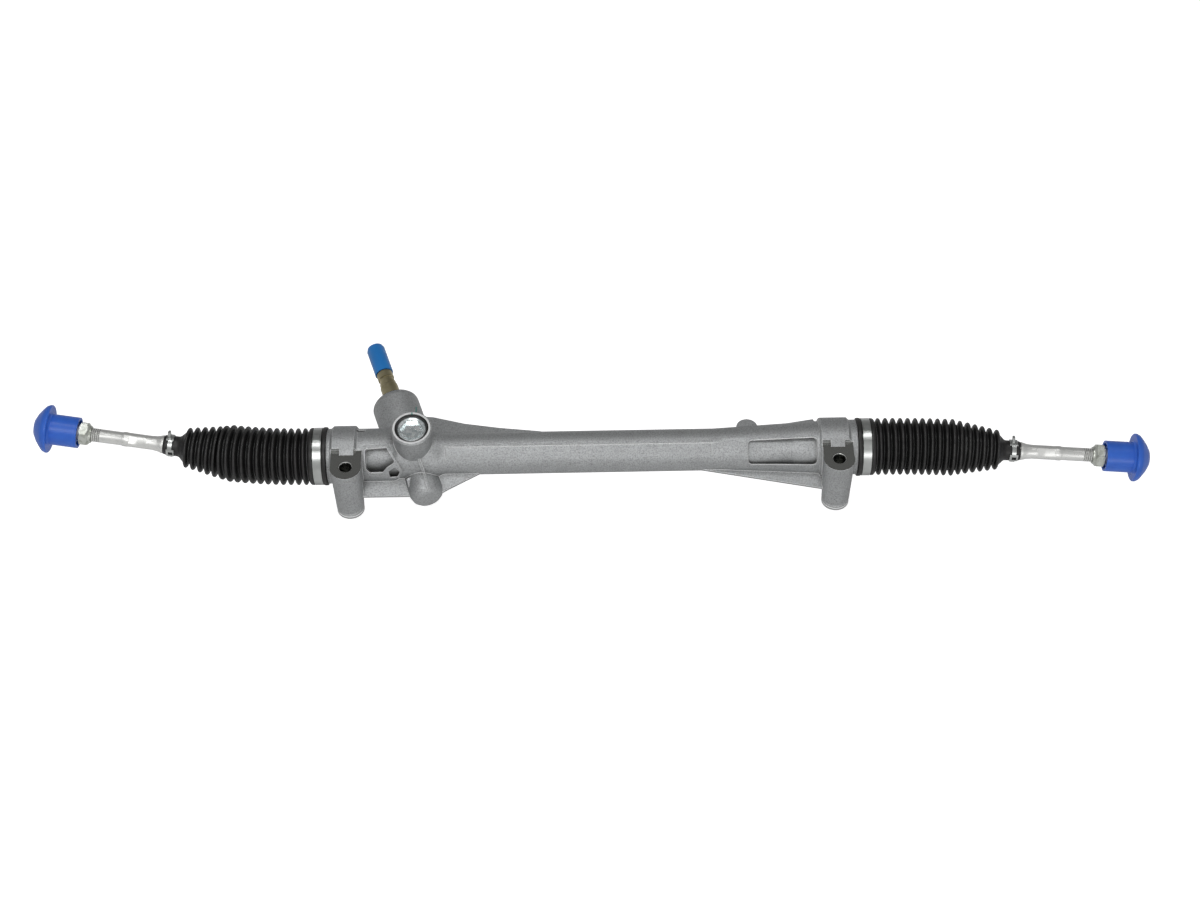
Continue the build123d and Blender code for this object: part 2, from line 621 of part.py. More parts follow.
def rod_dir(side):
    tilt = radians(LEFT_TILT if side < 0 else RIGHT_TILT)
    return X * (side * cos(tilt)) + SWING_DIR * sin(tilt)


def tie_rod(side):
    """Ball pin, tapered shank with a seat for the boot, spanner flats and a threaded end."""
    pitch_r = THREAD_R - THREAD_DEPTH
    engaged, free = NUT_AT - 0.2, NUT_AT + NUT_W + 0.2
    outline = [(8, 0), (8, 7.6), (20, 6.9), (60, 6.9), (NECK_AT - 2.5, SHANK_R + 0.4), (NECK_AT, SHANK_R + 0.4),
               (NECK_AT, SHANK_R), (NECK_END + 0.6, SHANK_R), (NECK_END + 0.6, 9.4), (NECK_END + 2, 9.4),
               (105, 7.9), (111, WAIST_R), (135, WAIST_R), (136.5, THREAD_R + 0.6), (140, THREAD_R + 0.6),
               (142, THREAD_R), (engaged, THREAD_R), (engaged, pitch_r), (free, pitch_r), (free, THREAD_R),
               (ROD_END - 1.5, THREAD_R), (ROD_END, THREAD_R - 1.5), (ROD_END, 0)]
    body = turned(outline, ball_centre(side), rod_dir(side))
    body = body + Solid.make_sphere(BALL_R).moved(Location(ball_centre(side)))
    away = radial(FACET_ANGLE)
    for way in (-1, 1):
        place = ball_centre(side) + rod_dir(side) * 125 + away * (way * (SPANNER_FLATS / 2 + 4))
        body = body - block(place, rod_dir(side), away, 18, 30, 8)
    return body


def jam_nut(side):
    """Hexagon nut with a coned collar towards the shank."""
    start = ball_centre(side) + rod_dir(side) * NUT_AT
    hexagon = Plane(start, x_dir=SWING_DIR.cross(rod_dir(side)), z_dir=rod_dir(side)) * RegularPolygon(
        NUT_AF / 2, 6, major_radius=False)
    corner = NUT_AF / sqrt(3) + 0.1
    rounding = turned([(0, 0), (0, 8.6), (1.5, 9.2), (4.6, corner), (NUT_W - 1.2, corner),
                       (NUT_W, corner - 1.7), (NUT_W, 0)], start, rod_dir(side))
    bore = rod(start - rod_dir(side), rod_dir(side), THREAD_R - THREAD_DEPTH + SADDLE_GAP, NUT_W + 2)
    return (extrude(hexagon, NUT_W) & rounding) - bore


def end_cap(side):
    """Mushroom cap: barrel with an inner sleeve on the thread, collar and shallow dome."""
    collar, rim = CAP_END - 17.7, CAP_RIM_R
    bore, sleeve, floor = CAP_R - CAP_WALL, THREAD_R + CAP_PLAY, ROD_END + CAP_SEAT
    outline = [(CAP_AT, bore), (CAP_AT, CAP_R), (collar - 1.5, CAP_R), (collar, CAP_R + 1.5),
               (collar, rim - 0.8), (collar + 0.8, rim), (collar + 2.6, rim), (collar + 5.5, rim - 1.4),
               (collar + 8.4, rim - 4.6),
               (collar + 12.4, rim - 9.8), (collar + 15.7, rim - 15.8), (CAP_END, 0),
               (floor, 0), (floor, sleeve), (CAP_AT + 2, sleeve), (CAP_AT + 2, sleeve + 2.4),
               (floor + 1, sleeve + 2.4), (floor + 1, bore)]
    return turned(outline, ball_centre(side), rod_dir(side))


# ---------------------------------------------------------------- boots
def boot_line(side, along):
    """Point and direction on the boot's bent centreline; along counts from the housing's middle."""
    tilt = radians(LEFT_TILT if side < 0 else RIGHT_TILT)
    radius = BOOT_BEND / tilt
    begin = BALL_X - radius * tan(tilt / 2)
    if along <= begin:
        return X * (side * along), X * side
    finish = begin + BOOT_BEND
    angle = tilt * min(1.0, (along - begin) / BOOT_BEND)
    point = X * (side * (begin + radius * sin(angle))) + SWING_DIR * (radius * (1 - cos(angle)))
    heading = X * (side * cos(angle)) + SWING_DIR * sin(angle)
    if along > finish:
        point = point + heading * (along - finish)
    return point, heading


def ridge_radius(k):
    """The last convolutions shrink evenly towards the rod."""
    past = max(0, k - (RIDGES - 1 - TAPERED))
    return BOOT_R - (BOOT_R - NECK_R) * 0.45 * past / TAPERED


def boot_rings():
    """(place, outer radius, inner radius) from the cuff to the neck."""
    inner, lip = SEAT_R + GAP, CUFF_R + CUFF_LIP
    clamp_end = CLAMP_AT + CLAMP_W
    rings = [(SEAT_START + 0.3, lip, inner), (CLAMP_AT - 0.4, lip, inner), (CLAMP_AT - 0.1, CUFF_R, inner),
             (clamp_end + 0.1, CUFF_R, inner), (clamp_end + 0.4, lip - 0.4, inner),
             (SEAT_END + 0.2, lip - 0.4, inner),
             (SEAT_END + 1.6, BOOT_R - BOOT_DEPTH, BOOT_R - BOOT_DEPTH - BOOT_WALL)]
    for k in range(RIDGES):
        place, ridge = FIRST_RIDGE + k * PITCH, ridge_radius(k)
        root = ridge_radius(k + 1) - BOOT_DEPTH
        rings.append((place, ridge, ridge - BOOT_WALL - 0.6))
        if k < RIDGES - 1:
            rings.append((place + PITCH / 2, root, root - BOOT_WALL))
    neck, hole = BALL_X + NECK_AT, SHANK_R + APART
    rings += [(neck + 1, NECK_R + 0.6, hole + 0.7), (neck + 3, NECK_R, hole), (BALL_X + NECK_END, NECK_R, hole)]
    return rings


def boot(side):
    """Bellows as a ruled loft along the bent line, less the same loft inside."""
    outer, inner = [], []
    rings = boot_rings()
    for index, (place, out_r, in_r) in enumerate(rings):
        point, heading = boot_line(side, place)
        outer.append(Wire.make_circle(out_r, Plane(point, z_dir=heading)))
        if index in (0, len(rings) - 1):
            extra = -1 if index == 0 else 1
            point = point + heading * extra
        inner.append(Wire.make_circle(in_r, Plane(point, z_dir=heading)))
    return Solid.make_loft(outer, True) - Solid.make_loft(inner, True)


def large_clamp(side):
    """Steel band round the boot's cuff, with its stepped overlap and crimped ear."""
    start = X * (side * CLAMP_AT)
    inner = CUFF_R + GAP
    band = ring(start, X * side, inner, inner + STRIP, 0, CLAMP_W)
    lap = ring(start, X * side, inner, inner + 1.6 * STRIP, 0.9, CLAMP_W - 0.9)
    up = radial(PARTING_ANGLE + 18)
    middle = start + X * (side * CLAMP_W / 2)
    lap = lap & block(middle + up * inner, X, up, CLAMP_W, 26, 20)
    ear_piece = block(middle + up * (inner + 2 * STRIP), X, up, CLAMP_W - 2.4, 6, 2.4)
    return band + lap + ear_piece


def small_clip(side):
    """Spring clip on the boot's neck: narrow ring, two wide pads, one with a window, and a raised tang."""
    start = ball_centre(side) + rod_dir(side) * CLIP_AT
    along = rod_dir(side)
    inner = NECK_R + APART
    outer = inner + STRIP
    middle = start + along * (CLIP_W / 2)
    high, low = radial(104), radial(2)
    band = ring(start, along, inner, outer, CLIP_W / 2 - 2.2, CLIP_W / 2 + 2.2)
    wide = ring(start, along, inner, outer, 0, CLIP_W)
    upper = block(middle + high * inner, along, high, CLIP_W, 10, 12)
    pads = wide & (upper + block(middle + low * inner, along, low, CLIP_W, 9, 12))
    window = block(middle + low * inner, along, low, CLIP_W - 4.4, 4, 12)
    tang = block(middle + high * (outer + 2.6), along, high, 2.4, 4.6, 6)
    return band + pads + tang - window


def main():
    os.makedirs("parts", exist_ok=True)
    save(housing(), "housing")
    save(guide_yoke(), "rack_guide_yoke")
    save(guide_liner(), "rack_guide_liner")
    save(guide_spring(), "rack_guide_spring")
    save(guide_plug(), "rack_guide_plug")
    save(guide_seal(), "rack_guide_seal")
    save(pinion_shaft(), "pinion_shaft")
    save(bearing_outer(), "pinion_bearing_outer_race")
    save(bearing_inner(), "pinion_bearing_inner_race")
    save(bearing_balls(), "pinion_bearing_balls")
    save(needle_bearing(), "pinion_needle_bearing")
    save(lock_ring(), "pinion_lock_ring")
    save(pinion_seal(), "pinion_seal")
    save(pinion_cap(), "pinion_cap")
    save(rack_bar(), "rack_bar")
    save(rack_bush(), "rack_bush")
    for side, name in ((-1, "left"), (1, "right")):
        save(socket(side), f"{name}_ball_socket")
        save(ball_seat(side), f"{name}_ball_seat")
        save(lock_washer(side), f"{name}_lock_washer")
        save(tie_rod(side), f"{name}_tie_rod")
        save(jam_nut(side), f"{name}_jam_nut")
        save(end_cap(side), f"{name}_end_cap")
        save(boot(side), f"{name}_boot")
        save(large_clamp(side), f"{name}_boot_clamp")
        save(small_clip(side), f"{name}_boot_clip")


main()
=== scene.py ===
"""Steering rack on a pale floor: looks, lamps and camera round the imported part.

Blender works in metres, in the part's own frame; values in millimetres are under headings that say so.
"""

import json
from math import acos, cos, pi, radians, sin, tan

import bpy
from mathutils import Matrix, Vector


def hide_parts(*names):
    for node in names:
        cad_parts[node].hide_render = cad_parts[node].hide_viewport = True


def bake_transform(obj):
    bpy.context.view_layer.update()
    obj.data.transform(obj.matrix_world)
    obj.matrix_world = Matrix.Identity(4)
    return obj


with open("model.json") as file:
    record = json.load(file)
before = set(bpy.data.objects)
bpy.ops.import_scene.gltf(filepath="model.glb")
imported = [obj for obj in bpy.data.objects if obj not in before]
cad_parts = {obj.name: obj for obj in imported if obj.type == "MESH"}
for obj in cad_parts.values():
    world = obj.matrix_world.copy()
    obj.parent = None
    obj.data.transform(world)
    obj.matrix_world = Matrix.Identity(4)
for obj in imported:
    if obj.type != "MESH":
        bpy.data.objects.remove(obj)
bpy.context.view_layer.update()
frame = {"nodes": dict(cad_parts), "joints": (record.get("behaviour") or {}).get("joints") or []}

MM = 0.001
JOINTS = {joint["name"]: joint for joint in frame["joints"]}
SIDES = {"left": -1, "right": 1}

# ---- places taken from the part ----
BALL = {side: Vector(JOINTS[f"{side}_tie_rod_swing"]["pos_m"]) for side in SIDES}
ROD = {side: Vector(JOINTS[f"{side}_tie_rod_turn"]["axis"]).normalized() for side in SIDES}
PINION_FOOT = Vector(JOINTS["pinion_spin"]["pos_m"])
RACK = (BALL["left"] + BALL["right"]) / 2

# ---- cut faces of the housing, in millimetres ----
GUIDE_LEAN = radians(6.5)
GUIDE = Vector((0, -sin(GUIDE_LEAN), cos(GUIDE_LEAN)))
GUIDE_RIM = 88              # above this height, what faces along the guide is its turned rim
BOLT_AT, BOLT_R = 250, 6.4
SPOT_FACE = 66.8            # height of the faces under the bolts' heads
PAD_REACH = 30              # farthest that they and the feet reach from a bolt's axis
CUT_WITHIN = 0.3            # how near its own level a cut face's middle lies
FOOT_RING, FOOT_LIP_HIGHLIGHT = 3.5, 1.5      # turned ring round each foot, and a painted highlight on the lip above it

# ---- a brush's stroke of assembly paint, in millimetres from the middle of the rack ----
PAINT = "#3c9186"
PAINT_WAY = (0, 0.758, 0.652)
PAINT_START, PAINT_END = 37, 50
PAINT_HALF_W = 0.7
PAINT_WANDER = 1.6          # how much it strays from one side to the other
PAINT_COVER = 0.75

# ---- bellows, in millimetres: along from the middle of the rack, and the neck's from the ball ----
CUFF_START, CLAMP_AT, CLAMP_W, CUFF_END = 271.3, 276.4, 8.4, 291.2
LIP_R, CUFF_R, SEAT_R = 30.2, 28.5, 26.6
RIDGE_R, DEPTH = 29.4, 5.8
RIDGES, TAPERED = 17, 6
TAPER = 0.45                # share of the way from ridge to neck that the tapered ones come down
FIRST_RIDGE, LAST_RIDGE = 294.5, 416.1
PITCH = (LAST_RIDGE - FIRST_RIDGE) / (RIDGES - 1)
NECK_AT, NECK_END, NECK_R = 82.5, 98.0, 10.3
BOOT_BEND = 96.0            # length over which it bends from the rack's line to the rod's
BOOT_WALL = 1.3
BELLOWS_SPLIT = 12          # convolutions before the piece that follows the rod
TUCK = ((-6, 3.2), (-3, 1.8))   # its hidden start: (before the split, below the root)
CUFF_RINGS = [              # (along, radius)
    (CUFF_START, SEAT_R), (CUFF_START, LIP_R - 0.6), (CUFF_START + 0.5, LIP_R), (CLAMP_AT - 0.9, LIP_R),
    (CLAMP_AT - 0.2, CUFF_R + 0.3), (CLAMP_AT + 0.2, CUFF_R), (CLAMP_AT + CLAMP_W - 0.2, CUFF_R),
    (CLAMP_AT + CLAMP_W + 0.2, CUFF_R + 0.3), (CLAMP_AT + CLAMP_W + 0.9, LIP_R - 0.6),
    (CUFF_END - 2.2, LIP_R - 0.6), (CUFF_END - 0.8, RIDGE_R - 2.4), (CUFF_END - 0.6, RIDGE_R - DEPTH + 1),
]
FOLD = [                    # one convolution: (from its crest, below its crest)
    (-2.4, 4.2), (-1.75, 1.7), (-1.05, 0.35), (-0.35, 0), (0.35, 0), (1.05, 0.35), (1.75, 1.7), (2.4, 4.2),
]
VALLEY = (-0.5, 0.5)        # rings at the root, from halfway between two crests
LAST_FOLD = [(3.4, 5.6), (4.4, 6.2)]    # how it leaves the last crest, measured as a convolution is
NECK_RINGS = [              # (from the ball, radius)
    (NECK_AT - 1.6, NECK_R + 1.0), (NECK_AT, NECK_R + 0.2), (NECK_AT + 1.2, NECK_R), (NECK_END - 0.8, NECK_R),
    (NECK_END, NECK_R - 0.6), (NECK_END, NECK_R - 2.2),
]
LEAST_TURN = 1e-6           # radians; a ring that turns less than this is left square

# ---- tie rods, in millimetres from the ball ----
GREASE_START = -30          # behind the ball, so that the whole shank up to the neck is black
THREAD_START, THREAD_END = 164.0, 173.2
THREAD_PITCH = 2.0          # half a millimetre coarser than the real one, so that it shows

# ---- camera ----
FOCAL_PX, FRAME_W = 2201.3, 1200
CAMERA_UP_FROM_FRONT = radians(49.27)
CAMERA_YAW, CAMERA_ROLL = radians(0.604), radians(-0.555)
CAMERA_DISTANCE = 2.2658
AIM = RACK + Vector((0.008, 0, 0.0022))

# ---- floor, lamps and room, in metres and watts ----
FLOOR_SIZE, FLOOR_GREY = 9, 0.82
FLOOR_LEVEL = -0.06         # clear of the rods at the ends of their swing
FLOOR_GLOW = 0.7            # lifts the lit floor to white
LAMPS = {                   # place, width, height, power
    "key": ((-0.5, -1.1, 1.5), 1.4, 0.7, 10),
    "front": ((0.6, -1.6, 0.5), 1.2, 0.5, 5),
    "strip": ((0.0, 0.2, 1.6), 1.6, 0.2, 7),
}
ROOM_DARK_WAY = (0, 0.62, 0.78)     # overhead at the back, where the room is darkest
ROOM_GLOW = 0.9


def linear(hexa):
    """sRGB hex to the linear colour that nodes take."""
    parts = [int(hexa[i:i + 2], 16) / 255 for i in (1, 3, 5)]
    return tuple(c / 12.92 if c <= 0.04045 else ((c + 0.055) / 1.055) ** 2.4 for c in parts) + (1.0,)


def across(size_mm):
    """Scale of a pattern whose blobs are about this many millimetres across."""
    return 1 / (size_mm * MM)


# a mix of colours: i0 is the share of the second, i6 and i7 are the two, and output 2 is the blend
COLOURS = {"data_type": "RGBA"}


def add(tree, kind, settings=None, out=0, stops=(), **inputs):
    """Adds a node with its settings and links, and gives the output that is asked for.

    An input goes by its name, or by its number where names repeat (i0, i1), and is a socket, a hex colour or
    a plain value. A ramp's stops are (place, grey).
    """
    node = tree.nodes.new("ShaderNode" + kind)
    for name, value in (settings or {}).items():
        setattr(node, name, value)
    while stops and len(node.color_ramp.elements) < len(stops):
        node.color_ramp.elements.new(0.5)
    for index, (place, grey) in enumerate(stops):
        node.color_ramp.elements[index].position = place
        node.color_ramp.elements[index].color = (grey, grey, grey, 1)
    for name, value in inputs.items():
        socket = node.inputs[int(name[1:]) if name[1:].isdigit() else name.replace("_", " ")]
        if isinstance(value, bpy.types.NodeSocket):
            tree.links.new(value, socket)
        else:
            socket.default_value = linear(value) if isinstance(value, str) else value
    return node.outputs[out] if len(node.outputs) else None


def new_material(name):
    """Empty material, its tree and the place on the piece that its patterns read."""
    material = bpy.data.materials.new(name)
    material.use_nodes = True
    tree = material.node_tree
    tree.nodes.clear()
    return material, tree, add(tree, "TexCoord", out="Object")


def finish_material(tree, **inputs):
    """The surface, with these inputs, and the output it feeds."""
    add(tree, "OutputMaterial", Surface=add(tree, "BsdfPrincipled", **inputs))


def worn_and_highlit_edges(tree, radius_mm):
    """Near 1 at rounded edges, which stand both for bare rubbed metal and for a painted highlight where they
    would catch light.
    """
    soft = add(tree, "Bevel", {"samples": 6}, Radius=radius_mm * MM)
    hard = add(tree, "NewGeometry", out="Normal")
    same = add(tree, "VectorMath", {"operation": "DOT_PRODUCT"}, "Value", i0=soft, i1=hard)
    return add(tree, "ValToRGB", stops=[(0.84, 0.95), (0.99, 0.0)], Fac=same)


def distance_along(tree, spot, point, direction):
    """How far a spot lies from a point, along a direction."""
    offset = add(tree, "VectorMath", {"operation": "SUBTRACT"}, i0=spot, i1=tuple(point))
    return add(tree, "VectorMath", {"operation": "DOT_PRODUCT"}, "Value", i0=offset, i1=tuple(direction))


def between(tree, distance, start, end):
    """1 from start to end, in mm, and 0 elsewhere."""
    after = add(tree, "Math", {"operation": "GREATER_THAN"}, i0=distance, i1=start * MM)
    before = add(tree, "Math", {"operation": "LESS_THAN"}, i0=distance, i1=end * MM)
    return add(tree, "Math", {"operation": "MULTIPLY"}, i0=after, i1=before)


def paint_mark(tree, spot):
    """The stroke of assembly paint, from the tower over the rim of the guide's bore, with a straying line."""
    ragged = add(tree, "TexNoise", Vector=spot, Scale=across(4), Detail=2.0, Roughness=0.55)
    wander = add(tree, "Math", {"operation": "MULTIPLY_ADD"}, i0=ragged, i1=PAINT_WANDER * MM,
                 i2=-PAINT_WANDER / 2 * MM)
    x = add(tree, "SeparateXYZ", Vector=spot)
    off = add(tree, "Math", {"operation": "SUBTRACT"}, i0=x, i1=PINION_FOOT.x)
    off = add(tree, "Math", {"operation": "ADD"}, i0=off, i1=wander)
    narrow = add(tree, "Math", {"operation": "COMPARE"}, i0=off, i1=0.0, i2=PAINT_HALF_W * MM)
    length = between(tree, distance_along(tree, spot, RACK, PAINT_WAY), PAINT_START, PAINT_END)
    both = add(tree, "Math", {"operation": "MULTIPLY"}, i0=narrow, i1=length)
    return add(tree, "Math", {"operation": "MULTIPLY"}, i0=both, i1=PAINT_COVER)


def cast_aluminium():
    """Die-cast aluminium out of the tumbler: sandy grain, cloudy patches, painted shade in corners, worn
    edges with painted highlight.
    """
    material, tree, spot = new_material("die_cast_aluminium")
    grain = add(tree, "TexNoise", Vector=spot, Scale=across(1.4), Detail=5.0, Roughness=0.7)
    cloud = add(tree, "TexNoise", Vector=spot, Scale=across(20), Detail=3.0, Roughness=0.55)
    drag = add(tree, "TexNoise", Vector=spot, Scale=across(5), Detail=2.0, Roughness=0.6)
    hollow = add(tree, "AmbientOcclusion", {"samples": 6}, "AO", Distance=9 * MM)
    speck = add(tree, "ValToRGB", stops=[(0.34, 1.0), (0.56, 0.0)], Fac=grain)
    stain = add(tree, "ValToRGB", stops=[(0.58, 0.0), (0.74, 0.35)], Fac=drag)
    # painted shade: ambient occlusion darkens corners and recesses towards dark grey
    painted_corner_shade = add(tree, "ValToRGB", stops=[(0.15, 0.75), (0.8, 0.0)], Fac=hollow)
    base = add(tree, "Mix", COLOURS, 2, i0=cloud, i6="#a3a5a6", i7="#bbbdbe")
    base = add(tree, "Mix", COLOURS, 2, i0=speck, i6=base, i7="#8a8b8b")
    base = add(tree, "Mix", COLOURS, 2, i0=stain, i6=base, i7="#8d8d8a")
    base = add(tree, "Mix", COLOURS, 2, i0=painted_corner_shade, i6=base, i7="#5c5b58")
    # near-white edges: partly wear, partly painted highlight
    base = add(tree, "Mix", COLOURS, 2, i0=worn_and_highlit_edges(tree, 1.2), i6=base, i7="#f4f5f5")
    height = distance_along(tree, spot, (0, 0, 0), (0, 0, 1))
    ring = between(tree, height, -FOOT_RING, FOOT_RING)
    painted_lip_highlight = between(tree, height, FOOT_RING, FOOT_RING + FOOT_LIP_HIGHLIGHT)
    base = add(tree, "Mix", COLOURS, 2, i0=ring, i6=base, i7="#a3a4a4")
    # painted highlight: a near-white band on the lip above each foot ring
    base = add(tree, "Mix", COLOURS, 2, i0=painted_lip_highlight, i6=base, i7="#f2f3f3")
    base = add(tree, "Mix", COLOURS, 2, i0=paint_mark(tree, spot), i6=base, i7=PAINT)
    rough = add(tree, "ValToRGB", stops=[(0.3, 0.62), (0.7, 0.46)], Fac=grain)
    round_corners = add(tree, "Bevel", {"samples": 6}, Radius=1.3 * MM)
    skin = add(tree, "Bump", Height=grain, Distance=0.14 * MM, Strength=0.6, Normal=round_corners)
    finish_material(tree, Base_Color=base, Metallic=0.8, Roughness=rough, Normal=skin)
    return material


def machined_aluminium():
    """Aluminium faces cut on a mill: smooth and mirror-like, so they take the dark of what they face."""
    material, tree, spot = new_material("machined_aluminium")
    marks = add(tree, "TexNoise", Vector=spot, Scale=across(0.6), Detail=2.0, Roughness=0.55)
    base = add(tree, "Mix", COLOURS, 2, i0=marks, i6="#a2a39f", i7="#b9bab6")
    relief = add(tree, "Bump", Height=marks, Distance=0.02 * MM, Strength=0.3)
    finish_material(tree, Base_Color=base, Metallic=1.0, Roughness=0.24, Normal=relief)
    return material


def turned_metal(name, light, dark, rough=0.26, mark_mm=0.7, metallic=1.0, painted=False):
    """Metal turned on a lathe: fine marks left by the tool, clouded by a thin film of oil."""
    material, tree, spot = new_material(name)
    film = add(tree, "TexNoise", Vector=spot, Scale=across(9), Detail=3.0, Roughness=0.55)
    marks = add(tree, "TexNoise", Vector=spot, Scale=across(mark_mm), Detail=2.0, Roughness=0.55)
    base = add(tree, "Mix", COLOURS, 2, i0=film, i6=dark, i7=light)
    if painted:
        base = add(tree, "Mix", COLOURS, 2, i0=paint_mark(tree, spot), i6=base, i7=PAINT)
    relief = add(tree, "Bump", Height=marks, Distance=0.03 * MM, Strength=0.4)
    finish_material(tree, Base_Color=base, Metallic=metallic, Roughness=rough, Normal=relief)
    return material


def tie_rod_steel(side):
    """Bright turned steel: scratched, black with grease inside the boot, and at the far end a thread drawn as
    a bump with painted shade in its grooves.
    """
    material, tree, spot = new_material(f"{side}_tie_rod_steel")
    film = add(tree, "TexNoise", Vector=spot, Scale=across(11), Detail=3.0, Roughness=0.55)
    rub = add(tree, "TexNoise", Vector=spot, Scale=across(0.9), Detail=2.0, Roughness=0.55)
    scratch = add(tree, "ValToRGB", stops=[(0.60, 0.0), (0.72, 0.5)], Fac=rub)
    base = add(tree, "Mix", COLOURS, 2, i0=film, i6="#dcdddb", i7="#f1f1ee")
    base = add(tree, "Mix", COLOURS, 2, i0=scratch, i6=base, i7="#8d8d88")
    along = distance_along(tree, spot, BALL[side], ROD[side])
    thread = between(tree, along, THREAD_START, THREAD_END)
    turns = add(tree, "Math", {"operation": "MULTIPLY"}, i0=along, i1=2 * pi / (THREAD_PITCH * MM))
    wave = add(tree, "Math", {"operation": "SINE"}, i0=turns)
    ridge = add(tree, "Math", {"operation": "MULTIPLY"}, i0=wave, i1=thread)
    thread_groove_shade = add(tree, "ValToRGB", stops=[(0.0, 0.0), (0.9, 0.55)], Fac=ridge)
    # painted shade: every other half turn of the thread darkened to stand for its grooves
    base = add(tree, "Mix", COLOURS, 2, i0=thread_groove_shade, i6=base, i7="#6f706c")
    grease = between(tree, along, GREASE_START, NECK_AT)
    base = add(tree, "Mix", COLOURS, 2, i0=grease, i6=base, i7="#141210")
    bare = add(tree, "Math", {"operation": "SUBTRACT"}, i0=1.0, i1=grease)
    metal = add(tree, "Math", {"operation": "MULTIPLY"}, i0=bare, i1=0.92)
    relief = add(tree, "Bump", Height=ridge, Distance=0.5 * MM, Strength=0.8)
    finish_material(tree, Base_Color=base, Metallic=metal, Roughness=0.45, Normal=relief)
    return material


def zinc_plate(name, light, dark, rough):
    """Electroplated zinc: bluish, with a faint crystal patchiness and a soft shine."""
    material, tree, spot = new_material(name)
    cells = add(tree, "TexVoronoi", out="Color", Vector=spot, Scale=across(3.2))
    grey = add(tree, "SeparateColor", Color=cells)
    base = add(tree, "Mix", COLOURS, 2, i0=grey, i6=dark, i7=light)
    relief = add(tree, "Bump", Height=grey, Distance=0.05 * MM, Strength=0.25)
    finish_material(tree, Base_Color=base, Metallic=0.95, Roughness=rough, Normal=relief)
    return material


def moulded_rubber():
    """Moulded chloroprene: near black and matt, with a dusty bloom on the ridges; in the folds painted shade
    takes its place and darkens them to black.
    """
    material, tree, spot = new_material("moulded_rubber")
    dust = add(tree, "TexNoise", Vector=spot, Scale=across(5), Detail=4.0, Roughness=0.6)
    fine = add(tree, "TexNoise", Vector=spot, Scale=across(0.8), Detail=2.0, Roughness=0.55)
    bloom = add(tree, "ValToRGB", stops=[(0.4, 0.0), (0.75, 1.0)], Fac=dust)
    hollow = add(tree, "AmbientOcclusion", {"samples": 6}, "AO", Distance=5 * MM)
    clear_of_painted_fold_shade = add(tree, "ValToRGB", stops=[(0.6, 0.0), (0.9, 1.0)], Fac=hollow)
    base = add(tree, "Mix", COLOURS, 2, i0=bloom, i6="#141313", i7="#292827")
    # painted shade: ambient occlusion darkens the folds to near black
    base = add(tree, "Mix", COLOURS, 2, i0=clear_of_painted_fold_shade, i6="#070707", i7=base)
    relief = add(tree, "Bump", Height=fine, Distance=0.05 * MM, Strength=0.3)
    finish_material(tree, Base_Color=base, Roughness=0.45, Normal=relief)
    return material


def moulded_plastic(name, colour, shade):
    """Injection-moulded plastic: even colour, waxy shine, faint flow marks."""
    material, tree, spot = new_material(name)
    flow = add(tree, "TexNoise", Vector=spot, Scale=across(14), Detail=2.0, Roughness=0.55)
    fine = add(tree, "TexNoise", Vector=spot, Scale=across(0.9), Detail=2.0, Roughness=0.55)
    base = add(tree, "Mix", COLOURS, 2, i0=flow, i6=shade, i7=colour)
    relief = add(tree, "Bump", Height=fine, Distance=0.03 * MM, Strength=0.3)
    finish_material(tree, Base_Color=base, Roughness=0.34, Subsurface_Weight=0.05,
                    Subsurface_Radius=(0.002, 0.002, 0.004), Normal=relief)
    return material


MATERIALS = {
    "cast": cast_aluminium(),
    "machined": machined_aluminium(),
    # guide rim: turned aluminium, made near white and half metal so that its colour carries a painted sheen
    "turned": turned_metal("turned_aluminium_with_painted_sheen", "#e6e7e7", "#d2d3d3", 0.5, 1.2, 0.5, painted=True),
    "steel": turned_metal("turned_steel", "#d2d3d2", "#b4b5b3"),
    "strip": turned_metal("stainless_strip", "#c9cbca", "#aeb1ae", 0.3, 2.0),
    "bearing": turned_metal("ground_bearing_steel", "#cfd1d3", "#bcbec0", 0.15),
    "shaft": turned_metal("yellow_passivated_steel", "#c2b998", "#8e8466", 0.3),
    "plug": zinc_plate("bright_zinc", "#f6fafb", "#c9d3d4", 0.26),
    "nut": zinc_plate("dull_zinc", "#d3d6d0", "#b6bab0", 0.36),
    "rubber": moulded_rubber(),
    "royal": moulded_plastic("royal_blue_polyethylene", "#336bd0", "#2759ba"),
    "azure": moulded_plastic("azure_polyethylene", "#1f7ac4", "#196db4"),
    "liner": moulded_plastic("pom_liner", "#dcd6c2", "#d2cbb4"),
}
TIE_ROD_FINISH = {f"{side}_tie_rod": tie_rod_steel(side) for side in SIDES}
FINISH = {
    "housing": "cast", "rack_guide_yoke": "cast", "rack_guide_liner": "liner", "rack_guide_spring": "steel",
    "rack_guide_plug": "plug", "rack_guide_seal": "rubber", "pinion_bearing_outer_race": "bearing",
    "pinion_bearing_inner_race": "bearing", "pinion_bearing_balls": "bearing",
    "pinion_needle_bearing": "bearing", "pinion_lock_ring": "steel", "pinion_seal": "rubber",
    "rack_bush": "liner", "pinion_shaft": "shaft", "pinion_cap": "azure", "rack_bar": "steel",
    "boot": "rubber", "boot_clamp": "strip", "boot_clip": "strip", "ball_socket": "steel",
    "ball_seat": "liner", "lock_washer": "strip", "jam_nut": "nut", "end_cap": "royal",
}


def plain_name(node):
    """Node name without its side."""
    for side in SIDES:
        node = node.removeprefix(side + "_")
    return node


def smooth_cad(obj, angle=32):
    """Joins the loose triangles and shades round faces smooth, leaving real edges sharp."""
    weld = obj.modifiers.new("weld", "WELD")
    weld.merge_threshold = 0.005 * MM
    split = obj.modifiers.new("edges", "EDGE_SPLIT")
    split.split_angle = radians(angle)
    obj.data.polygons.foreach_set("use_smooth", [True] * len(obj.data.polygons))


def dress_cad():
    """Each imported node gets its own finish."""
    for node, obj in frame["nodes"].items():
        obj.data.materials.clear()
        finish = TIE_ROD_FINISH.get(node) or MATERIALS[FINISH[plain_name(node)]]
        obj.data.materials.append(finish)
        smooth_cad(obj)
    dress_machined_faces(frame["nodes"]["housing"])


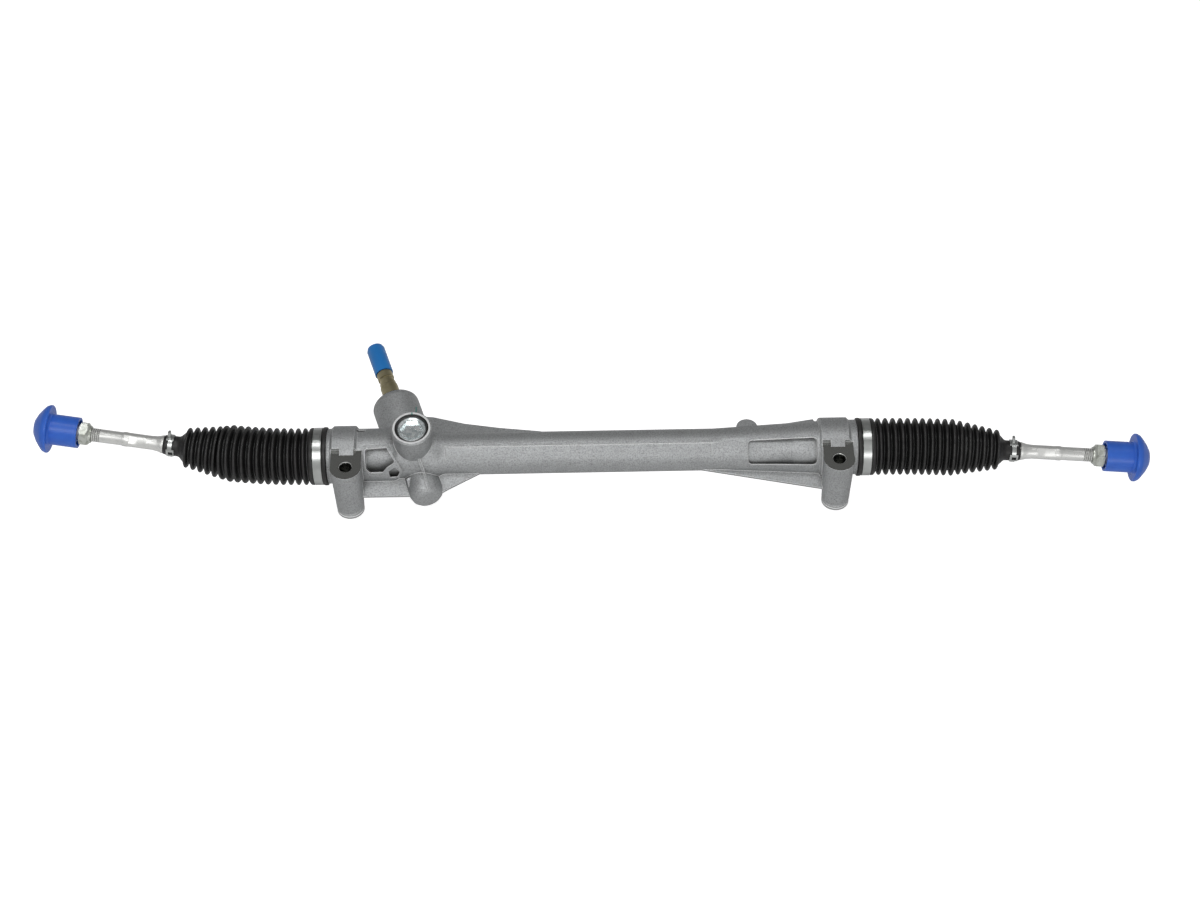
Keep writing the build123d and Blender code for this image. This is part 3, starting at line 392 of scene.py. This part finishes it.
def dress_machined_faces(housing):
    """Cut faces of the casting: spot faces, soles and bores at the bolts, and the rim round the plug."""
    for name in ("machined", "turned"):
        housing.data.materials.append(MATERIALS[name])
    for face in housing.data.polygons:
        level = face.center.z / MM
        out = Vector((abs(face.center.x) - BOLT_AT * MM, face.center.y)).length / MM
        cut = min(abs(level - SPOT_FACE), abs(level)) < CUT_WITHIN
        if (abs(face.normal.z) > 0.99 and cut and out < PAD_REACH) or out < BOLT_R + CUT_WITHIN:
            face.material_index = 1
        # the guide's turned rim, lightened with painted sheen
        elif face.normal.dot(GUIDE) > 0.995 and level > GUIDE_RIM:
            face.material_index = 2


# ---------------------------------------------------------------- modelling by operators
def deselect():
    if bpy.context.object and bpy.context.object.mode != "OBJECT":
        bpy.ops.object.mode_set(mode="OBJECT")
    bpy.ops.object.select_all(action="DESELECT")


def select(obj):
    """Leaves this one object selected and active."""
    deselect()
    bpy.context.view_layer.objects.active = obj
    obj.select_set(True)


def turn_to(direction):
    """Euler turn that takes Z to a direction."""
    return Vector((0, 0, 1)).rotation_difference(direction).to_euler()


def bend_place(side, along):
    """Centre and heading on a bellows' bent line; along is in mm from the middle of the rack."""
    out = Vector((SIDES[side], 0, 0))
    tilt = acos(max(-1, min(1, ROD[side].dot(out))))
    lift = (ROD[side] - out * ROD[side].dot(out)).normalized()
    radius = BOOT_BEND / tilt
    ball = abs(BALL[side].x) / MM
    begin = ball - radius * tan(tilt / 2)
    if along <= begin:
        return RACK + out * along * MM, out
    angle = tilt * min(1.0, (along - begin) / BOOT_BEND)
    point = out * (begin + radius * sin(angle)) + lift * (radius * (1 - cos(angle)))
    heading = out * cos(angle) + lift * sin(angle)
    point = point + heading * max(0.0, along - begin - BOOT_BEND)
    return RACK + point * MM, heading


def sweep_rings(name, places, segments=72):
    """Open skin drawn from ring to ring: a circle is extruded, moved, turned and resized along the line."""
    deselect()
    centre, heading, radius = places[0]
    bpy.ops.mesh.primitive_circle_add(vertices=segments, radius=radius, location=centre,
                                      rotation=turn_to(heading))
    obj = bpy.context.object
    obj.name = name
    bpy.ops.object.mode_set(mode="EDIT")
    bpy.ops.mesh.select_all(action="SELECT")
    for place in places[1:]:
        step = place[0] - centre
        bpy.ops.mesh.extrude_region_move(TRANSFORM_OT_translate={"value": step})
        grow = place[2] / radius
        bpy.ops.transform.resize(value=(grow, grow, grow), center_override=place[0])
        turn = heading.rotation_difference(place[1])
        if turn.angle > LEAST_TURN:
            turn_ring(turn, place[0])
        centre, heading, radius = place
    bpy.ops.object.mode_set(mode="OBJECT")
    bpy.ops.object.transform_apply(location=True, rotation=True, scale=True)
    return obj


def turn_ring(turn, centre):
    """Turns the ring being extruded about its centre."""
    axis = turn.axis
    side = axis.orthogonal().normalized()
    basis = Matrix((side, axis.cross(side), axis)).transposed()
    bpy.ops.transform.rotate(value=turn.angle, orient_axis="Z", orient_type="GLOBAL", orient_matrix=basis,
                             orient_matrix_type="GLOBAL", center_override=centre)


def bellows_outline():
    """(along, radius) of the boot from its cuff to its neck, in mm."""
    rings = list(CUFF_RINGS)
    for k in range(RIDGES):
        place = FIRST_RIDGE + k * PITCH
        past = max(0, k - (RIDGES - 1 - TAPERED)) / TAPERED
        crest = RIDGE_R - (RIDGE_R - NECK_R) * TAPER * past
        rings += [(place + way, crest - low) for way, low in FOLD]
        if k < RIDGES - 1:
            rings += [(place + PITCH / 2 + way, crest - DEPTH) for way in VALLEY]
    rings += [(place + way, crest - low) for way, low in LAST_FOLD]
    ball = abs(BALL["left"].x) / MM
    rings += [(ball + way, radius) for way, radius in NECK_RINGS]
    return rings


def apply_all(obj):
    """Applies the piece's modifiers to its mesh."""
    select(obj)
    for modifier in list(obj.modifiers):
        bpy.ops.object.modifier_apply(modifier=modifier.name)


def point_outwards(obj):
    """Turns the skin's faces outwards, before it gets its wall."""
    select(obj)
    bpy.ops.object.mode_set(mode="EDIT")
    bpy.ops.mesh.select_all(action="SELECT")
    bpy.ops.mesh.normals_make_consistent(inside=False)
    bpy.ops.object.mode_set(mode="OBJECT")


def bellows(side):
    """Two skins, the second tucked under the first: the cuff and first convolutions, then the rest on to the
    neck.
    """
    outline = bellows_outline()
    split = len(CUFF_RINGS) + BELLOWS_SPLIT * (len(FOLD) + len(VALLEY))
    root_ring = split - len(VALLEY)
    place, root = outline[root_ring]
    tuck = [(place + way, root - low) for way, low in TUCK]
    for part, rings in (("inner", outline[:split]), ("outer", tuck + outline[root_ring:])):
        places = [(*bend_place(side, along), radius * MM) for along, radius in rings]
        obj = sweep_rings(f"{side}_bellows_{part}", places)
        point_outwards(obj)
        wall = obj.modifiers.new("wall", "SOLIDIFY")
        wall.thickness, wall.offset = BOOT_WALL * MM, -1
        smooth = obj.modifiers.new("smooth", "SUBSURF")
        smooth.levels = smooth.render_levels = 1
        apply_all(obj)
        obj.data.materials.append(MATERIALS["rubber"])
        obj.data.polygons.foreach_set("use_smooth", [True] * len(obj.data.polygons))
        if part == "inner":
            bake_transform(obj)
        else:
            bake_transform(obj)
        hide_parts(f"{side}_boot")


# ---------------------------------------------------------------- stage
def camera():
    """Camera above the front, aimed at the middle of the rack."""
    level = Vector((sin(CAMERA_YAW), cos(CAMERA_YAW), 0))
    forward = level * cos(CAMERA_UP_FROM_FRONT) - Vector((0, 0, 1)) * sin(CAMERA_UP_FROM_FRONT)
    right = Vector((cos(CAMERA_YAW), -sin(CAMERA_YAW), 0))
    up = right.cross(forward)
    rightward = right * cos(CAMERA_ROLL) + up * sin(CAMERA_ROLL)
    upright = up * cos(CAMERA_ROLL) - right * sin(CAMERA_ROLL)
    data = bpy.data.cameras.new("camera")
    data.sensor_width = 36
    data.lens = FOCAL_PX / FRAME_W * data.sensor_width
    obj = bpy.data.objects.new("camera", data)
    bpy.context.scene.collection.objects.link(obj)
    turn = Matrix((rightward, upright, -forward)).transposed().to_4x4()
    obj.matrix_world = Matrix.Translation(AIM - forward * CAMERA_DISTANCE) @ turn
    bpy.context.scene.camera = obj


def lamps():
    """Soft lamps aimed at the rack: a key and a front lamp, and a strip overhead that the tube mirrors."""
    for name, (place, width, height, power) in LAMPS.items():
        place = Vector(place)
        data = bpy.data.lights.new(name, "AREA")
        data.shape = "RECTANGLE"
        data.size, data.size_y = width, height
        data.energy = power
        obj = bpy.data.objects.new(name, data)
        bpy.context.scene.collection.objects.link(obj)
        turn = (place - RACK).to_track_quat("Z", "Y").to_matrix().to_4x4()
        obj.matrix_world = Matrix.Translation(place) @ turn


def floor():
    """Pale floor under the part: white to the eye except where the part shades it."""
    deselect()
    bpy.ops.mesh.primitive_plane_add(size=FLOOR_SIZE, location=(0, 0, FLOOR_LEVEL))
    obj = bpy.context.object
    obj.name = "floor"
    material, tree, _ = new_material("pale_floor")
    paint = add(tree, "BsdfDiffuse", Color=(FLOOR_GREY, FLOOR_GREY, FLOOR_GREY, 1))
    glow = add(tree, "Emission", Color=(1, 1, 1, 1), Strength=FLOOR_GLOW)
    seen = add(tree, "LightPath", out="Is Camera Ray")
    lift = add(tree, "MixShader", i0=seen, i2=glow)
    both = add(tree, "AddShader", i0=paint, i1=lift)
    add(tree, "OutputMaterial", Surface=both)
    obj.data.materials.append(material)


def sky():
    """White to the eye; what metal mirrors is light in front and below, and darker overhead at the back."""
    world = bpy.data.worlds.new("world")
    bpy.context.scene.world = world
    world.use_nodes = True
    tree = world.node_tree
    tree.nodes.clear()
    direction = add(tree, "TexCoord", out="Generated")
    facing = add(tree, "VectorMath", {"operation": "DOT_PRODUCT"}, "Value", i0=direction, i1=ROOM_DARK_WAY)
    place = add(tree, "MapRange", Value=facing, From_Min=-1.0, From_Max=1.0)
    shade = add(tree, "ValToRGB", stops=[(0.0, 0.56), (0.45, 0.5), (0.75, 0.42), (0.93, 0.27), (1.0, 0.15)],
                Fac=place)
    room = add(tree, "Background", Color=shade, Strength=ROOM_GLOW)
    white = add(tree, "Background", Color=(1, 1, 1, 1), Strength=1.0)
    seen = add(tree, "LightPath", out="Is Camera Ray")
    both = add(tree, "MixShader", i0=seen, i1=room, i2=white)
    add(tree, "OutputWorld", Surface=both)


dress_cad()
for side in SIDES:
    bellows(side)
floor()
sky()
camera()
lamps()

scene = bpy.context.scene
scene.view_settings.view_transform = "Standard"
